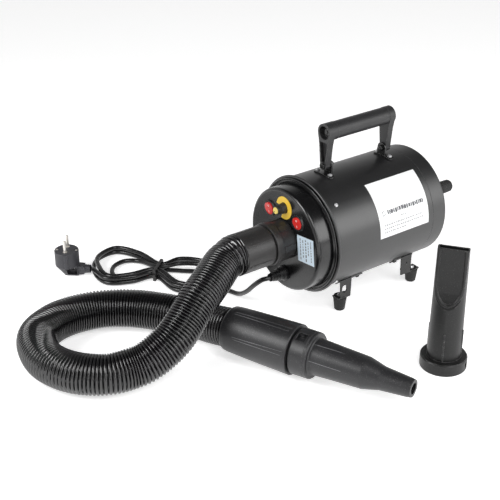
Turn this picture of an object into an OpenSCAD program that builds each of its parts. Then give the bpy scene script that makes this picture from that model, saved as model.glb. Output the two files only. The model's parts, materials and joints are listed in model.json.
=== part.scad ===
// Pet dryer: barrel blower with a carry handle, a corrugated hose, a hand wand with a
// round nozzle, a loose flat nozzle and a corded plug, laid out ready for use.
// +Z is up, the floor is z = 0, the barrel axis runs along Y and the control end faces -Y.
// The origin is on the floor under the middle of the barrel.

/* [Barrel] */
// Outer radius of the barrel shell
barrel_r = 82.5; // [81:0.5:84]
// Height of the barrel axis above the floor
axis_z = 111; // [110:0.5:112]
// Sheet thickness of the barrel shell
shell_t = 1.2; // [1:0.1:1.6]
// Radius of the dark rolled bead at the front edge
bead_r = 2.1; // [1.8:0.1:2.3]

/* [Front] */
// Outer radius of the bowl-shaped front cover at the flange
bowl_r = 76; // [74:0.5:77]
// Height of the air outlet axis above the floor
outlet_z = 113; // [112:0.5:114]
// Height of the speed knob axis
knob_z = 160.4; // [160:0.1:161]
// Distance of each switch from the middle
switch_x = 31; // [30:0.5:32]
// Height of the switches
switch_z = 149; // [148:0.5:150]
// Tilt of each rocker when switched off
rocker_tilt = 8; // [6:0.5:9]

/* [Handle] */
// Height of the grip axis
grip_z = 254.8; // [253:0.2:257]
// Height of the handle pivot axis
pivot_z = 206; // [205:0.5:207]
// Radius of the grip tube
grip_r = 12.4; // [12:0.2:13]

/* [Feet] */
// Sideways distance of each rubber foot
foot_x = 50.5; // [49:0.5:51]
// Position of the front feet along the barrel
foot_front_y = -70; // [-72:0.5:-68]
// Position of the rear feet along the barrel
foot_rear_y = 72.5; // [70:0.5:74]
// Height of a rubber foot
foot_h = 20; // [19:0.5:21]

/* [Hose and wand] */
// Outer radius of the hose over its ribs
hose_r = 27; // [26.6:0.1:27.3]
// Inner radius of the hose
hose_bore = 23.8; // [23.6:0.1:24]
// Angle of the wand on the floor
wand_angle = 21; // [20:0.5:22]
// Outer radius of the wand grip at its front end
wand_r = 34.4; // [34:0.1:34.8]

/* [Flat nozzle] */
// Sideways place of the loose flat nozzle
flat_x = 242.4; // [240:0.2:246]
// Place of the loose flat nozzle along Y
flat_y = -55.9; // [-60:0.2:-52]
// Height of the flat nozzle
flat_h = 174; // [170:1:178]
// Direction that the wide side of the flat nozzle faces
flat_angle = -54; // [-60:1:-48]

/* [Cord] */
// Radius of the power cord
cord_r = 3.6; // [3.2:0.1:3.7]
// Number of turns in the tied bundle of cord
cord_turns = 4; // [4:1:4]

/* [Hidden] */
$fn = 96;

shell_in = barrel_r - shell_t;
panel_y = -135; // outer face of the control panel
panel_t = 2.2;
panel_back = panel_y + panel_t;
gland_x = 2;
gland_z = 59.5;

// Screws: angles are measured about the barrel axis, up from +X.
shank_r = 1.65;
tight_hole_r = 1.72;
loose_hole_r = 1.9;
front_screw_angles = [48:90:318];
front_screw_y = -89;
rear_screw_angles = [90, 210, 330];
rear_screw_ring = 74;
rear_foot_angles = [30, 150, 270];
rear_foot_ring = 72;
bracket_screw_x = 13;
bracket_screw_y = [-64.5, 49.5];
foot_screw_angle = 51.5; // below the horizontal on each side
foot_screw_front_y = [-69, -40];
foot_screw_rear_y = [34, 61];

// ---- placing and basic shapes ----------------------------------------------------------
// Local z becomes +Y and local y becomes -Z. Turned profiles in this frame are [radius, y].
module on_axis(z = axis_z, x = 0) translate([x, 0, z]) rotate([-90, 0, 0]) children();
module turned(profile) rotate_extrude() polygon(profile);
module box(corner, size) translate(corner) cube(size);
module post(base, radius, height, sides = 96)
  translate([0, 0, base]) cylinder(r = radius, h = height, $fn = sides);
module cone(base, lower, upper, height, sides = 96)
  translate([0, 0, base]) cylinder(r1 = lower, r2 = upper, h = height, $fn = sides);
// The bore cutter starts 1 below the ring and is bore_length long.
module ring(outer, bore, height, bore_length) difference() {
  cylinder(r = outer, h = height);
  post(-1, bore, bore_length);
}
module spin(angles) for (a = angles) rotate([0, 0, a]) children();
module mirrored_pair(direction) {
  children();
  mirror(direction) children();
}
// Shapes along Y between two Y values.
module y_cylinder(x, z, radius, from, to, sides = 96)
  translate([x, min(from, to), z]) rotate([-90, 0, 0])
    cylinder(r = radius, h = abs(to - from), $fn = sides);
module y_cone(x, z, front, rear, from, to)
  translate([x, from, z]) rotate([-90, 0, 0]) cylinder(r1 = front, r2 = rear, h = to - from);
module y_hex(x, z, radius, from, to) y_cylinder(x, z, radius, from, to, 6);
// Extrudes an outline drawn in X and Z.
module y_extrude(from, to)
  translate([0, max(from, to), 0]) rotate([90, 0, 0]) linear_extrude(abs(to - from)) children();
// Local z points away from the barrel axis.
module radial(angle, y, radius)
  translate([0, y, axis_z]) rotate([0, 90 - angle, 0]) translate([0, 0, radius]) children();
module radial_hole(angle, y, radius, from, to)
  radial(angle, y, from) cylinder(r = radius, h = to - from, $fn = 48);
// Local z points to the rear, at each angle on a ring about the barrel axis.
module on_rear(angles, y, ring_radius)
  for (a = angles) radial(a, y, ring_radius) rotate([-90, 0, 0]) children();
module at_bracket_screws(rows, z)
  for (y = rows, x = [-1, 1] * bracket_screw_x) translate([x, y, z]) children();
function foot_side_angle(side) = side > 0 ? -foot_screw_angle : 180 + foot_screw_angle;

// Head on local z = 0 going up, shank going down.
module pan_screw(head_r, head_h, length, radius = shank_r) difference() {
  union() {
    cylinder(r = head_r, h = head_h * 0.45, $fn = 48);
    cone(head_h * 0.45, head_r, head_r * 0.62, head_h * 0.55, 48);
    post(-length, radius, length, 32);
  }
  spin([0, 90]) box([-head_r * 0.5, -0.45, head_h - 0.9], [head_r, 0.9, 2]);
}

function arc(x, y, radius, from, to, steps) = [for (i = [0:steps])
  let(a = from + (to - from) * i / steps) [x + radius * cos(a), y + radius * sin(a)]];

// ---- sweeps ----------------------------------------------------------------------------
function unit(v) = v / norm(v);
// Catmull-Rom point at t between start and end.
function spline(before, start, end, after, t) = 0.5 * (2 * start + (end - before) * t
  + (2 * before - 5 * start + 4 * end - after) * t * t
  + (3 * start - before - 3 * end + after) * t * t * t);
// A smooth curve through the points, with the given steps in each span.
function smooth_path(points, steps) = let(last = len(points) - 1) concat(
  [for (i = [0:last - 1], j = [0:steps - 1]) spline(
    i == 0 ? 2 * points[0] - points[1] : points[i - 1],
    points[i],
    points[i + 1],
    i == last - 1 ? 2 * points[last] - points[last - 1] : points[i + 2],
    j / steps)],
  [points[last]]);
function tangent(path, i) = unit(path[min(i + 1, len(path) - 1)] - path[max(i - 1, 0)]);
function ring_points(path, i, radius, sides, up = [0, 0, 1]) =
  let(along = tangent(path, i), across = unit(cross(along, up)), normal = cross(across, along))
  [for (j = [0:sides - 1]) let(a = 360 * j / sides)
    path[i] + radius * (cos(a) * across + sin(a) * normal)];
// Quads between successive rings of points, the first ring starting at index first.
function skin(rings, sides, first = 0, inward = false) =
  [for (i = [0:rings - 2], j = [0:sides - 1])
    let(p = first + i * sides + j, q = first + i * sides + (j + 1) % sides)
    inward ? [q, q + sides, p + sides, p] : [p, p + sides, q + sides, q]];
// A round bar along the path.
module bar(path, radius, sides, up = [0, 0, 1]) {
  count = len(path);
  polyhedron(
    points = [for (i = [0:count - 1]) each ring_points(path, i, radius, sides, up)],
    faces = concat(
      [[for (j = [0:sides - 1]) j]],
      skin(count, sides),
      [[for (j = [sides - 1:-1:0]) (count - 1) * sides + j]]),
    convexity = 12);
}
// A tube along the path with one outer radius for each station.
module pipe(path, radii, bore, sides) {
  count = len(path);
  inner = count * sides; // index of the first bore point
  last = inner - sides; // index of the last outer ring
  polyhedron(
    points = concat(
      [for (i = [0:count - 1]) each ring_points(path, i, radii[i], sides)],
      [for (i = [0:count - 1]) each ring_points(path, i, bore, sides)]),
    faces = concat(
      skin(count, sides),
      skin(count, sides, inner, true),
      [for (j = [0:sides - 1]) let(q = (j + 1) % sides) [j, q, inner + q, inner + j]],
      [for (j = [0:sides - 1]) let(p = last + j, q = last + (j + 1) % sides)
        [q, p, inner + p, inner + q]]),
    convexity = 12);
}

// ---- barrel ----------------------------------------------------------------------------
shell_front_y = -104.4;
module barrel_shell() color([0.09, 0.09, 0.1]) difference() {
  on_axis() rotate_extrude() union() {
    translate([shell_in, shell_front_y]) square([shell_t, 181.2]);
    translate([barrel_r + 1.4, shell_front_y]) circle(r = bead_r, $fn = 32);
    // flange ring for the rear cover screws
    translate([68, 67.5]) square([shell_in - 68 + 0.3, 1.5]);
  }
  for (a = front_screw_angles) radial_hole(a, front_screw_y, 2.1, 78, 86);
  on_rear(rear_screw_angles, 66, rear_screw_ring) cylinder(r = tight_hole_r, h = 5, $fn = 32);
  at_bracket_screws(bracket_screw_y, axis_z + 70) cylinder(r = tight_hole_r, h = 20, $fn = 32);
  for (side = [-1, 1], y = concat(foot_screw_front_y, foot_screw_rear_y))
    radial_hole(foot_side_angle(side), y, tight_hole_r, 76, 90);
}

module panel_hole(x, z, radius) y_cylinder(x, z, radius, panel_y - 1, panel_back + 1);
corner_r = 4.5; // outer corner between bowl wall and panel
module front_cover() color([0.12, 0.12, 0.13]) difference() {
  on_axis() rotate_extrude() union() {
    // spigot inside the barrel, flange, bowl wall and flat panel in one pressing
    polygon(concat(
      [[79.3, -84], [81.1, -84], [81.1, -106.6], [77.6, -106.6], [bowl_r, -108.4]],
      [[bowl_r - 0.7, -129]],
      arc(bowl_r - 5.3, panel_y + corner_r, corner_r, 0, -90, 10),
      [[0, panel_y], [0, panel_back], [bowl_r - 5.7, panel_back]],
      arc(bowl_r - 5.3, panel_y + corner_r, corner_r - panel_t, -90, 0, 8),
      [[bowl_r - 2.6, -126], [bowl_r - 2, -105], [79.3, -103]]));
    // bead round the flange
    translate([81.5, -108.2]) circle(r = 1.25, $fn = 32);
    translate([79.4, -108.4]) square([2, 3]);
  }
  for (a = front_screw_angles) radial_hole(a, front_screw_y, tight_hole_r, 76, 84);
  panel_hole(0, outlet_z, 28.2);
  panel_hole(0, knob_z, 3.6);
  for (side = [-1, 1]) panel_hole(side * switch_x, switch_z, 11.1);
  panel_hole(gland_x, gland_z, 6.1);
}

module front_cover_screws() color("silver") for (a = front_screw_angles)
  radial(a, front_screw_y, barrel_r + 0.05) pan_screw(2.9, 2.0, 5.5);

module rear_cover() color([0.1, 0.1, 0.11]) difference() {
  on_axis() rotate_extrude() union() {
    polygon(concat(
      [[shell_in, 77.2], [barrel_r, 77.2], [barrel_r, 100.2]],
      arc(barrel_r - 3.8, 100.2, 3.8, 0, 90, 10),
      [[59, 104], [59, 96], [60.6, 96], [60.6, 102.4], [barrel_r - 3.9, 102.4]],
      arc(barrel_r - 3.8, 100.2, 2.2, 90, 0, 8)));
    // spigot inside the barrel and its join to the rim
    translate([79.4, 70]) square([1.7, 9]);
    translate([80.6, 77.2]) square([1.2, 1.6]);
  }
  on_rear(rear_screw_angles, 95, rear_screw_ring) cylinder(r = loose_hole_r, h = 12, $fn = 32);
  on_rear(rear_foot_angles, 95, rear_foot_ring) cylinder(r = 2.2, h = 12, $fn = 32);
}

// Long screws that pull the rear cover onto the flange ring inside the barrel.
module rear_cover_screws() color("silver")
  on_rear(rear_screw_angles, 104.05, rear_screw_ring) pan_screw(3.5, 2.2, 42);

filter_profile = [[0, 104.4], [56.4, 104.4], [56.4, 92], [58.93, 92], [58.93, 104.1],
  [61.2, 104.1], [61.2, 105.4], [59.6, 107], [0, 107]];
slot_w = 6.2;
slot_pitch = 10;
slot_field_r = 50; // the slots end on this circle
slot_bar = 2.5; // half width of the solid bar down the middle
module filter_cover() color([0.13, 0.13, 0.14]) {
  on_axis() difference() {
    turned(filter_profile);
    for (i = [-4:4], side = [-1, 1])
      let(y = i * slot_pitch, reach = sqrt(slot_field_r * slot_field_r - y * y))
        box([side > 0 ? slot_bar : -reach, y - slot_w / 2, 98], [reach - slot_bar, slot_w, 12]);
  }
  y_cylinder(0, axis_z, 9, 106.5, 110);
}
module filter_foam() color([0.2, 0.2, 0.22]) on_axis() post(91, 55.8, 9.2);

// [radius, distance behind the rear cover]
rear_foot_profile = [[0, -4.4], [2.9, -4.4], [3.3, -2.2], [2.15, -1.8], [2.15, 0], [8.6, 0],
  [9.4, 3], [9.0, 19.5], [7.6, 21.9], [3.4, 21.9], [3.4, 17], [0, 17]];
module rear_rubber_feet() color([0.06, 0.06, 0.06])
  on_rear(rear_foot_angles, 104.1, rear_foot_ring) turned(rear_foot_profile);

// ---- handle ----------------------------------------------------------------------------
rod_r = 2.5; // tie rod and pivot bolts
pivot_boss_r = 6.2;
tab_r = 8; // rounded top and half width of a bracket tab
// Leg outlines in [x, z].
leg_outline = [[-12.6, grip_z - 2], [12.6, grip_z - 2], [9.2, 236],
  [pivot_boss_r, pivot_z + 1], [-pivot_boss_r, pivot_z + 1], [-9.2, 236]];
leg_recess = [[-8, 240.5], [8, 240.5], [3.4, 211], [-3.4, 211]];
// One arm: a boss on the grip axis and a tapered leg down to the pivot.
// Each outer and inner pair holds the Y places of the two faces; socket is the depth of the
// open hole in the outer end of the boss and seat the depth of the recess for the grip tube.
module arm(outer, inner, boss_outer, boss_inner, socket, seat) {
  inward = outer < inner ? 1 : -1;
  difference() {
    union() {
      y_cylinder(0, grip_z, grip_r + 0.4, boss_outer, boss_inner);
      y_extrude(outer, inner) union() {
        polygon(leg_outline);
        translate([0, pivot_z]) circle(r = pivot_boss_r, $fn = 64);
      }
    }
    y_extrude(outer - inward, outer + 6 * inward) polygon(leg_recess);
    y_cylinder(0, grip_z, 9.8, boss_outer, boss_outer + inward * socket);
    y_cylinder(0, grip_z, 2.7, boss_outer - inward, boss_inner + inward, 48);
    y_cylinder(0, grip_z, grip_r - 1.4, boss_inner, boss_inner - inward * seat);
    y_cylinder(0, pivot_z, 2.55, -90, 90, 48);
  }
}
module handle_front_arm() color([0.2, 0.2, 0.21])
  arm(outer = -67, inner = -57.5, boss_outer = -67, boss_inner = -49, socket = 9, seat = 4);
module handle_rear_arm() color([0.2, 0.2, 0.21])
  arm(outer = 56, inner = 46.6, boss_outer = 57, boss_inner = 46.4, socket = 5, seat = 3);
module handle_grip() color([0.17, 0.17, 0.18]) difference() {
  union() {
    y_cylinder(0, grip_z, grip_r, -48.9, 46.3);
    y_cylinder(0, grip_z, grip_r - 1.5, -52.6, 49.2);
  }
  y_cylinder(0, grip_z, grip_r - 3.2, -60, 60);
}
module handle_tie_rod() color("silver") {
  y_cylinder(0, grip_z, rod_r, -63, 56.6, 48);
  y_hex(0, grip_z, 5, -61.8, -58.05);
  y_hex(0, grip_z, 5, 52.05, 55.8);
}
// Shank, head and nut, each given as a [from, to] span along Y.
module pivot_bolt(shank, head, nut) {
  y_cylinder(0, pivot_z, rod_r, shank[0], shank[1], 48);
  y_cylinder(0, pivot_z, 4.3, head[0], head[1], 48);
  y_hex(0, pivot_z, 4.4, nut[0], nut[1]);
}
module handle_pivot_bolts() color("silver") {
  pivot_bolt(shank = [-68, -49], head = [-69.4, -67.02], nut = [-55, -51.4]);
  pivot_bolt(shank = [38, 57], head = [56.02, 58.4], nut = [40.2, 43.9]);
}
// A curved plate screwed to the barrel with an upright tab for the pivot bolt.
// tab_from and tab_to are the faces of the tab.
module bracket(screw_y, tab_from, tab_to) difference() {
  strip_r = 5.6;
  strip_from = min(screw_y, tab_from);
  tab_base = axis_z + barrel_r + 0.9;
  union() {
    intersection() {
      on_axis() translate([0, 0, -80]) ring(barrel_r + 2.1, barrel_r + 0.1, 160, 162);
      translate([0, 0, axis_z + 60]) linear_extrude(40) union() {
        translate([-bracket_screw_x, screw_y - strip_r])
          square([2 * bracket_screw_x, 2 * strip_r]);
        at_bracket_screws([screw_y], 0) circle(r = strip_r, $fn = 64);
        translate([-tab_r, strip_from]) square([2 * tab_r, max(screw_y, tab_to) - strip_from]);
      }
    }
    y_extrude(tab_from, tab_to) union() {
      translate([-tab_r, tab_base]) square([2 * tab_r, pivot_z - tab_base]);
      translate([0, pivot_z]) circle(r = tab_r, $fn = 64);
    }
  }
  y_cylinder(0, pivot_z, 2.56, tab_from - 1, tab_to + 1, 48);
  at_bracket_screws([screw_y], axis_z + 60) cylinder(r = loose_hole_r, h = 40, $fn = 32);
}
module handle_brackets() color([0.05, 0.05, 0.05]) {
  bracket(bracket_screw_y[0], -57.3, -55.1);
  bracket(bracket_screw_y[1], 44.2, 46.4);
}
module bracket_screws() color("silver")
  at_bracket_screws(bracket_screw_y, axis_z + sqrt(pow(barrel_r + 2.1, 2) - 90) + 0.03)
    pan_screw(3.3, 2.2, 5.6);

// ---- feet ------------------------------------------------------------------------------
foot_tab_z = foot_h + 0.1;
foot_tab_r = 9;
foot_plate_x = 57;
foot_bore_r = 2.45;
module at_feet()
  for (side = [-1, 1], y = [foot_front_y, foot_rear_y]) translate([side * foot_x, y, 0])
    children();
// side is the sign of x; plate_y is the middle of the upright plate.
module foot_bracket(side, front, plate_y, foot_y) difference() {
  tab_from = front ? foot_y - foot_tab_r : plate_y + 1.5;
  tab_to = front ? plate_y + 9.5 : foot_y + foot_tab_r;
  union() {
    // flange strip against the barrel
    translate([0, 0, axis_z])
      rotate([0, side > 0 ? foot_screw_angle : 180 - foot_screw_angle, 0])
        box([barrel_r + 0.15, front ? -77 : 29, -6.5], [2, front ? 43 : 37, 13]);
    // upright plate
    translate([side * foot_plate_x - 1, 0, 0]) rotate([90, 0, 90]) linear_extrude(2)
      polygon([[plate_y - 10.5, 50.4], [plate_y + 10.5, 50.4],
        [plate_y + 9.5, foot_tab_z], [plate_y - 9.5, foot_tab_z]]);
    // foot tab turned inward and toward the end of the barrel
    box([side > 0 ? 44 : -58, tab_from, foot_tab_z], [14, tab_to - tab_from, 2]);
    translate([side * foot_x, foot_y, foot_tab_z]) cylinder(r = foot_tab_r, h = 2);
  }
  // upright slot in a front plate, small round hole in a rear plate
  if (front) translate([side * foot_plate_x - 4, plate_y - 2.5, 37]) rotate([0, 90, 0]) union() {
    for (x = [0, 3.4]) translate([x, 0, 0]) cylinder(r = 4.3, h = 8, $fn = 48);
    box([0, -4.3, 0], [3.4, 8.6, 8]);
  }
  else translate([side * 58 - 1, plate_y, 38]) rotate([0, 90, 0])
    cylinder(r = 2.1, h = 2, $fn = 48);
  translate([side * foot_x, foot_y, 10]) cylinder(r = foot_bore_r, h = 20, $fn = 48);
  for (y = front ? foot_screw_front_y : foot_screw_rear_y)
    radial_hole(foot_side_angle(side), y, loose_hole_r, 76, 90);
  // material inside the barrel line is cut away
  y_cylinder(0, axis_z, barrel_r + 0.1, -100, 100);
}
module foot_brackets() color([0.06, 0.06, 0.06]) for (side = [-1, 1]) {
  foot_bracket(side, true, -66, foot_front_y);
  foot_bracket(side, false, 53.5, foot_rear_y);
}
module foot_bracket_screws() color("silver")
  for (side = [-1, 1], y = concat(foot_screw_front_y, foot_screw_rear_y))
    radial(foot_side_angle(side), y, barrel_r + 2.2) pan_screw(3.2, 1.8, 5.6);
module rubber_feet() color([0.07, 0.07, 0.07]) at_feet() difference() {
  turned([[0, 0], [6.6, 0], [7.7, 1.2], [9.9, foot_h - 1], [9.9, foot_h], [0, foot_h]]);
  post(-1, 4.6, 6.5, 48);
  post(1, foot_bore_r, 30, 48);
}
module foot_bolts() color("silver") at_feet() {
  translate([0, 0, foot_h + 2.12]) pan_screw(4.0, 2.6, foot_h - 5, 2.4);
  translate([0, 0, 2.0]) difference() {
    cylinder(r = 4.2, h = 3.2, $fn = 6);
    post(-1, 2.42, 9, 32);
  }
}

// ---- controls --------------------------------------------------------------------------
knob_profile = [[0, -150], [5.4, -150], [5.9, -149.2], [6.2, -142.6], [7.2, -141.4],
  [7.8, -136.1], [0, -136.1]];
module speed_knob() color([0.1, 0.1, 0.1]) difference() {
  on_axis(knob_z) {
    turned(knob_profile);
    spin([0:30:330]) box([6.0, -0.6, -148.5], [0.7, 1.2, 6.5]);
  }
  y_cylinder(0, knob_z, 6.2, -139.4, -130);
  y_cylinder(0, knob_z, 3.02, -147, -130);
  y_cylinder(0, knob_z, 4.95, -151, -149.4);
}
module knob_cap() color([0.95, 0.83, 0.3]) y_cone(0, knob_z, 4.5, 4.9, -151, -149.42);
module pot_shaft() color("silver") y_cylinder(0, knob_z, 3, -146.9, -125);
module dial_plate() color([0.95, 0.83, 0.2]) difference() {
  y_cylinder(0, knob_z, 16.5, panel_y - 0.65, panel_y - 0.04);
  y_cylinder(0, knob_z, 8.2, panel_y - 2, panel_y + 1);
  // gap between the ends of the scale
  translate([0, 0, knob_z]) y_extrude(panel_y - 2, panel_y + 1)
    polygon([[0, 0], [-40, 6], [-40, -40], [-14, -40]]);
}
module potentiometer() color([0.35, 0.35, 0.36]) difference() {
  union() {
    y_cylinder(0, knob_z, 8.5, panel_back + 0.05, -122);
    y_cylinder(0, knob_z, 3.5, -138.6, -130);
    y_hex(0, knob_z, 5.4, -138, panel_y - 0.05);
  }
  y_cylinder(0, knob_z, 3.05, -140, -124);
}
rocker_y = panel_y - 0.6; // rocker pivot axis
module switch_body(x) difference() {
  union() {
    y_cone(x, switch_z, 11.4, 12, panel_y - 2.4, panel_y - 0.04);
    y_cylinder(x, switch_z, 11, panel_y - 0.1, -117);
    // flat terminals at the back
    for (z = [-5, 0, 5]) box([x - 2, -117.5, switch_z + z - 0.4], [4, 8, 0.8]);
  }
  y_cylinder(x, switch_z, 9.45, panel_y - 3, -129);
  translate([x - 10.5, rocker_y, switch_z]) rotate([0, 90, 0])
    cylinder(r = 1.27, h = 21, $fn = 48);
}
module switch_left() color([0.08, 0.08, 0.08]) switch_body(-switch_x);
module switch_right() color([0.08, 0.08, 0.08]) switch_body(switch_x);
module rocker(x) translate([x, rocker_y, switch_z]) rotate([rocker_tilt, 0, 0]) {
  rotate([90, 0, 0]) cone(-2.4, 8.7, 8.9, 4.9);
  translate([-10.3, 0, 0]) rotate([0, 90, 0]) cylinder(r = 1.2, h = 20.6, $fn = 48);
}
module rocker_left() color([0.82, 0.1, 0.09]) rocker(-switch_x);
module rocker_right() color([0.82, 0.1, 0.09]) rocker(switch_x);
module panel_label() color([0.8, 0.88, 0.93])
  translate([48.3, panel_y - 0.04, 113.8]) rotate([0, -6, 0])
    box([-17.2, -0.26, -19.2], [34.4, 0.26, 38.4]);
module barrel_label() color("white") on_axis() translate([0, 0, -27]) rotate([0, 0, -58])
  rotate_extrude(angle = 57.5) translate([barrel_r + 0.05, 0]) square([0.25, 94]);

// ---- outlet and hose -------------------------------------------------------------------
stub_profile = [[24.4, -130.8], [33, -130.8], [33, -132.75], [28, -132.75], [28, -168],
  [26.58, -168], [26.58, -147], [24.4, -146]];
outlet_ring_profile = [[28.04, -157], [30.2, -157], [30.6, -158], [30.6, -167], [30, -168],
  [28.04, -168]];
cuff_profile = [[23.6, -148], [26.5, -148], [26.5, -170.4], [28.5, -170.4], [29.1, -171.2],
  [29.1, -216], [28.5, -216.9], [22.2, -216.9], [22.2, -224], [20.4, -224], [20.4, -214],
  [23.6, -210]];
module outlet_stub() color([0.13, 0.13, 0.14]) on_axis(outlet_z) {
  turned(stub_profile);
  spin([0:60:300]) box([27.5, -4, -155], [1.6, 8, 19.2]);
}
module outlet_ring() color([0.16, 0.16, 0.17]) on_axis(outlet_z) turned(outlet_ring_profile);
module hose_cuff() color([0.15, 0.15, 0.16]) on_axis(outlet_z) {
  turned(cuff_profile);
  spin([20:60:320]) box([28.7, -1.4, -213], [1.2, 2.8, 38]);
}
// The hose leaves the cuff, drops to the floor, runs round in one loop and meets the wand.
// Stations are [x, y, z].
hose_stations = [[0, -217.5, 113], [0, -221, 113], [0.1, -224.5, 112.95], [0.9, -229.5, 112.3],
  [3.6, -243, 109], [16.9, -269.5, 99.5], [30.1, -300.6, 86.7], [40.1, -328.3, 69.2],
  [47.8, -355.2, 52.5], [47.7, -385.1, 37.5], [42.5, -409.7, 29.6], [30.5, -446.4, 27.3],
  [-1.6, -477.9, 27.3], [-46.8, -490.5, 27.3], [-96.2, -477, 27.3], [-117.8, -447.2, 27.3],
  [-123.9, -412.5, 27.3], [-114.2, -370.9, 27.3], [-87.4, -331.3, 27.3], [-53.1, -302.9, 27.3],
  [-11.4, -278.4, 28.2], [20.4, -268.5, 31.2], [43.9, -260.2, 34.4], [62.6, -253, 34.6]];
// The hose is wider at the cuff and a little narrower inside the wand.
function hose_radius(i, count) =
  i <= 9 ? 29.6 : i == 10 ? 29 : i == 11 ? 28.2 : i > count - 8 ? hose_r - 0.4 : hose_r;
module hose() color([0.07, 0.07, 0.07]) {
  path = smooth_path(hose_stations, 4);
  pipe(path, [for (i = [0:len(path) - 1]) hose_radius(i, len(path))], hose_bore, 20);
}

// ---- wand and nozzles ------------------------------------------------------------------
// The wand's own frame: local z runs along the wand. Profiles are [radius, z].
module on_wand() translate([43.9, -260.2, 34.6]) rotate([0, 90, wand_angle]) children();
wand_profile = [[27.8, 0], [29.2, 0.4], [30.6, 2.5], [31.4, 8], [32.6, 34], [33.4, 58],
  [33.9, 82], [wand_r, 100], [wand_r, 102.6], [33.8, 103.5], [26.5, 103.5], [26.5, 124],
  [23, 124], [23, 30], [27.3, 26]];
module wand_grip() color([0.14, 0.14, 0.15]) on_wand() {
  turned(wand_profile);
  // bayonet lugs
  spin([11, 191]) box([25.5, -2, 110.5], [3.6, 4, 5]);
}
round_nozzle_profile = [[26.58, 106.3], [30.9, 106.3], [31.6, 107.2], [31.4, 126], [31, 126.4],
  [31, 127], [31.4, 127.4], [31.2, 130.4], [30.4, 131.4], [26, 131.6], [25, 132.6],
  [24.5, 134.5], [22.9, 166], [21.3, 203], [20.4, 207], [15.6, 226], [12.6, 262], [12.2, 264],
  [11.6, 268], [7.5, 268], [9, 262], [12.4, 225], [17.8, 203], [20.6, 134], [22, 126],
  [26.58, 124.5]];
module round_nozzle() color([0.13, 0.13, 0.14]) on_wand() difference() {
  turned(round_nozzle_profile);
  // bayonet windows
  spin([19.5, 199.5]) box([20, -6.5, 109.5], [14, 13, 13]);
}

// Outline of the two scooped faces of the flat nozzle: [half thickness, z].
mouth_half = 5.4;
scoop = [[22.6, 93], [19, 98.5], [15, 105.5], [12, 114], [9.8, 126], [8, 142], [6.6, 158],
  [mouth_half, flat_h]];
// The space between the scooped faces, each moved inward by inset.
module scoop_sides(inset) y_extrude(-60, 60) polygon(concat(
  [[-40, 0], [40, 0], [40, 93]],
  [for (p = scoop) [p[0] - inset, p[1]]],
  [[mouth_half - inset, flat_h + 9], [inset - mouth_half, flat_h + 9]],
  [for (i = [len(scoop) - 1:-1:0]) [inset - scoop[i][0], scoop[i][1]]],
  [[-40, 93]]));
flat_collar_profile = [[0, 0], [30.6, 0], [31.2, 0.8], [31.2, 15.2], [30, 17], [23, 17.4],
  [0, 17.4]];
// The flat nozzle stands on its collar, bore down, mouth up.
module flat_nozzle() color([0.14, 0.14, 0.15])
  translate([flat_x, flat_y, 0]) rotate([0, 0, flat_angle]) difference() {
    union() {
      turned(flat_collar_profile);
      intersection() {
        cone(10, 22.8, 20.4, flat_h - 10);
        scoop_sides(0);
      }
      spin([2, 82, 182, 262]) box([20, -0.8, 15], [3.3, 1.6, 44]);
    }
    post(-1, 26.58, 14.6);
    cone(13.5, 21, 20.2, 6);
    intersection() {
      cone(12, 20.6, 18.4, flat_h);
      scoop_sides(2);
    }
    // bayonet windows
    spin([85, 265]) box([20, -6.5, 4], [14, 13, 8.6]);
  }

// ---- cord ------------------------------------------------------------------------------
gland_profile = [[3.75, -128], [5.95, -128], [5.95, panel_y - 0.05], [11, panel_y - 0.05],
  [11, -138.6], [9.4, -140], [8.6, -147], [7.2, -148], [7.2, -149.4], [7.9, -149.8],
  [7.7, -152], [6.5, -152.4], [6.5, -153.6], [7, -154], [6.8, -156.4], [5.8, -156.8],
  [5.8, -158], [6, -158.4], [5.7, -160.6], [5.35, -160.6], [3.75, -143]];
module cord_gland() color([0.08, 0.08, 0.08]) on_axis(gland_z, gland_x) turned(gland_profile);
module gland_nut() color([0.1, 0.1, 0.1]) difference() {
  y_hex(gland_x, gland_z, 10, -132.7, -128.8);
  y_cylinder(gland_x, gland_z, 5.98, -134, -127);
}

plug_place = [-279.8, -332.8, 0];
plug_angle = 49.5;
bundle_place = [-191.2, -225.9];
bundle_along = [0.774, 0.633];
bundle_across = [-bundle_along[1], bundle_along[0]];
low_z = 5;
high_z = 12.5;
// Point in the bundle: along its length, across it, z above the floor.
function bundle_point(along, across, z) =
  let(p = bundle_place + along * bundle_along + across * bundle_across) [p[0], p[1], z];
// Stations of one clockwise turn, [along, across]; 2 and 9 are the crossings of the waist.
turn_stations = [[80, -35], [42, -40], [0, 0], [-32, -33], [-64, -45], [-89, -24], [-102, 12],
  [-84, 44], [-45, 36], [0, 0], [26, 33], [62, 33], [90, 2]];
// The small inner loop of the second turn replaces stations 4 to 8.
inner_loop = [[-54, -31], [-68, -18], [-72, 4], [-61, 23], [-38, 27]];
// Returns of the first turn, stations 10 to 12, and of the second, stations 10 and 11.
first_return = [[31, 13], [62, 15], [84, -4]];
second_return = [[29, 22.5], [62, 25]];
// Station j pushed outward by its nest number.
function turn_point(j, nest, z) =
  j == 2 ? bundle_point(0, -4.2 - 8.6 * nest, z) :
  j == 9 ? bundle_point(0, 4.2 + 8.6 * nest, z) :
  let(
    middle = j > 2 && j < 9 ? [-62, 0] : [46, -3],
    spacing = j == 1 || j == 3 || j == 8 || j == 10 ? 8.6 : 7.8,
    p = turn_stations[j] + unit(turn_stations[j] - middle) * spacing * (nest - 0.5))
  bundle_point(p[0], p[1], z);
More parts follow.
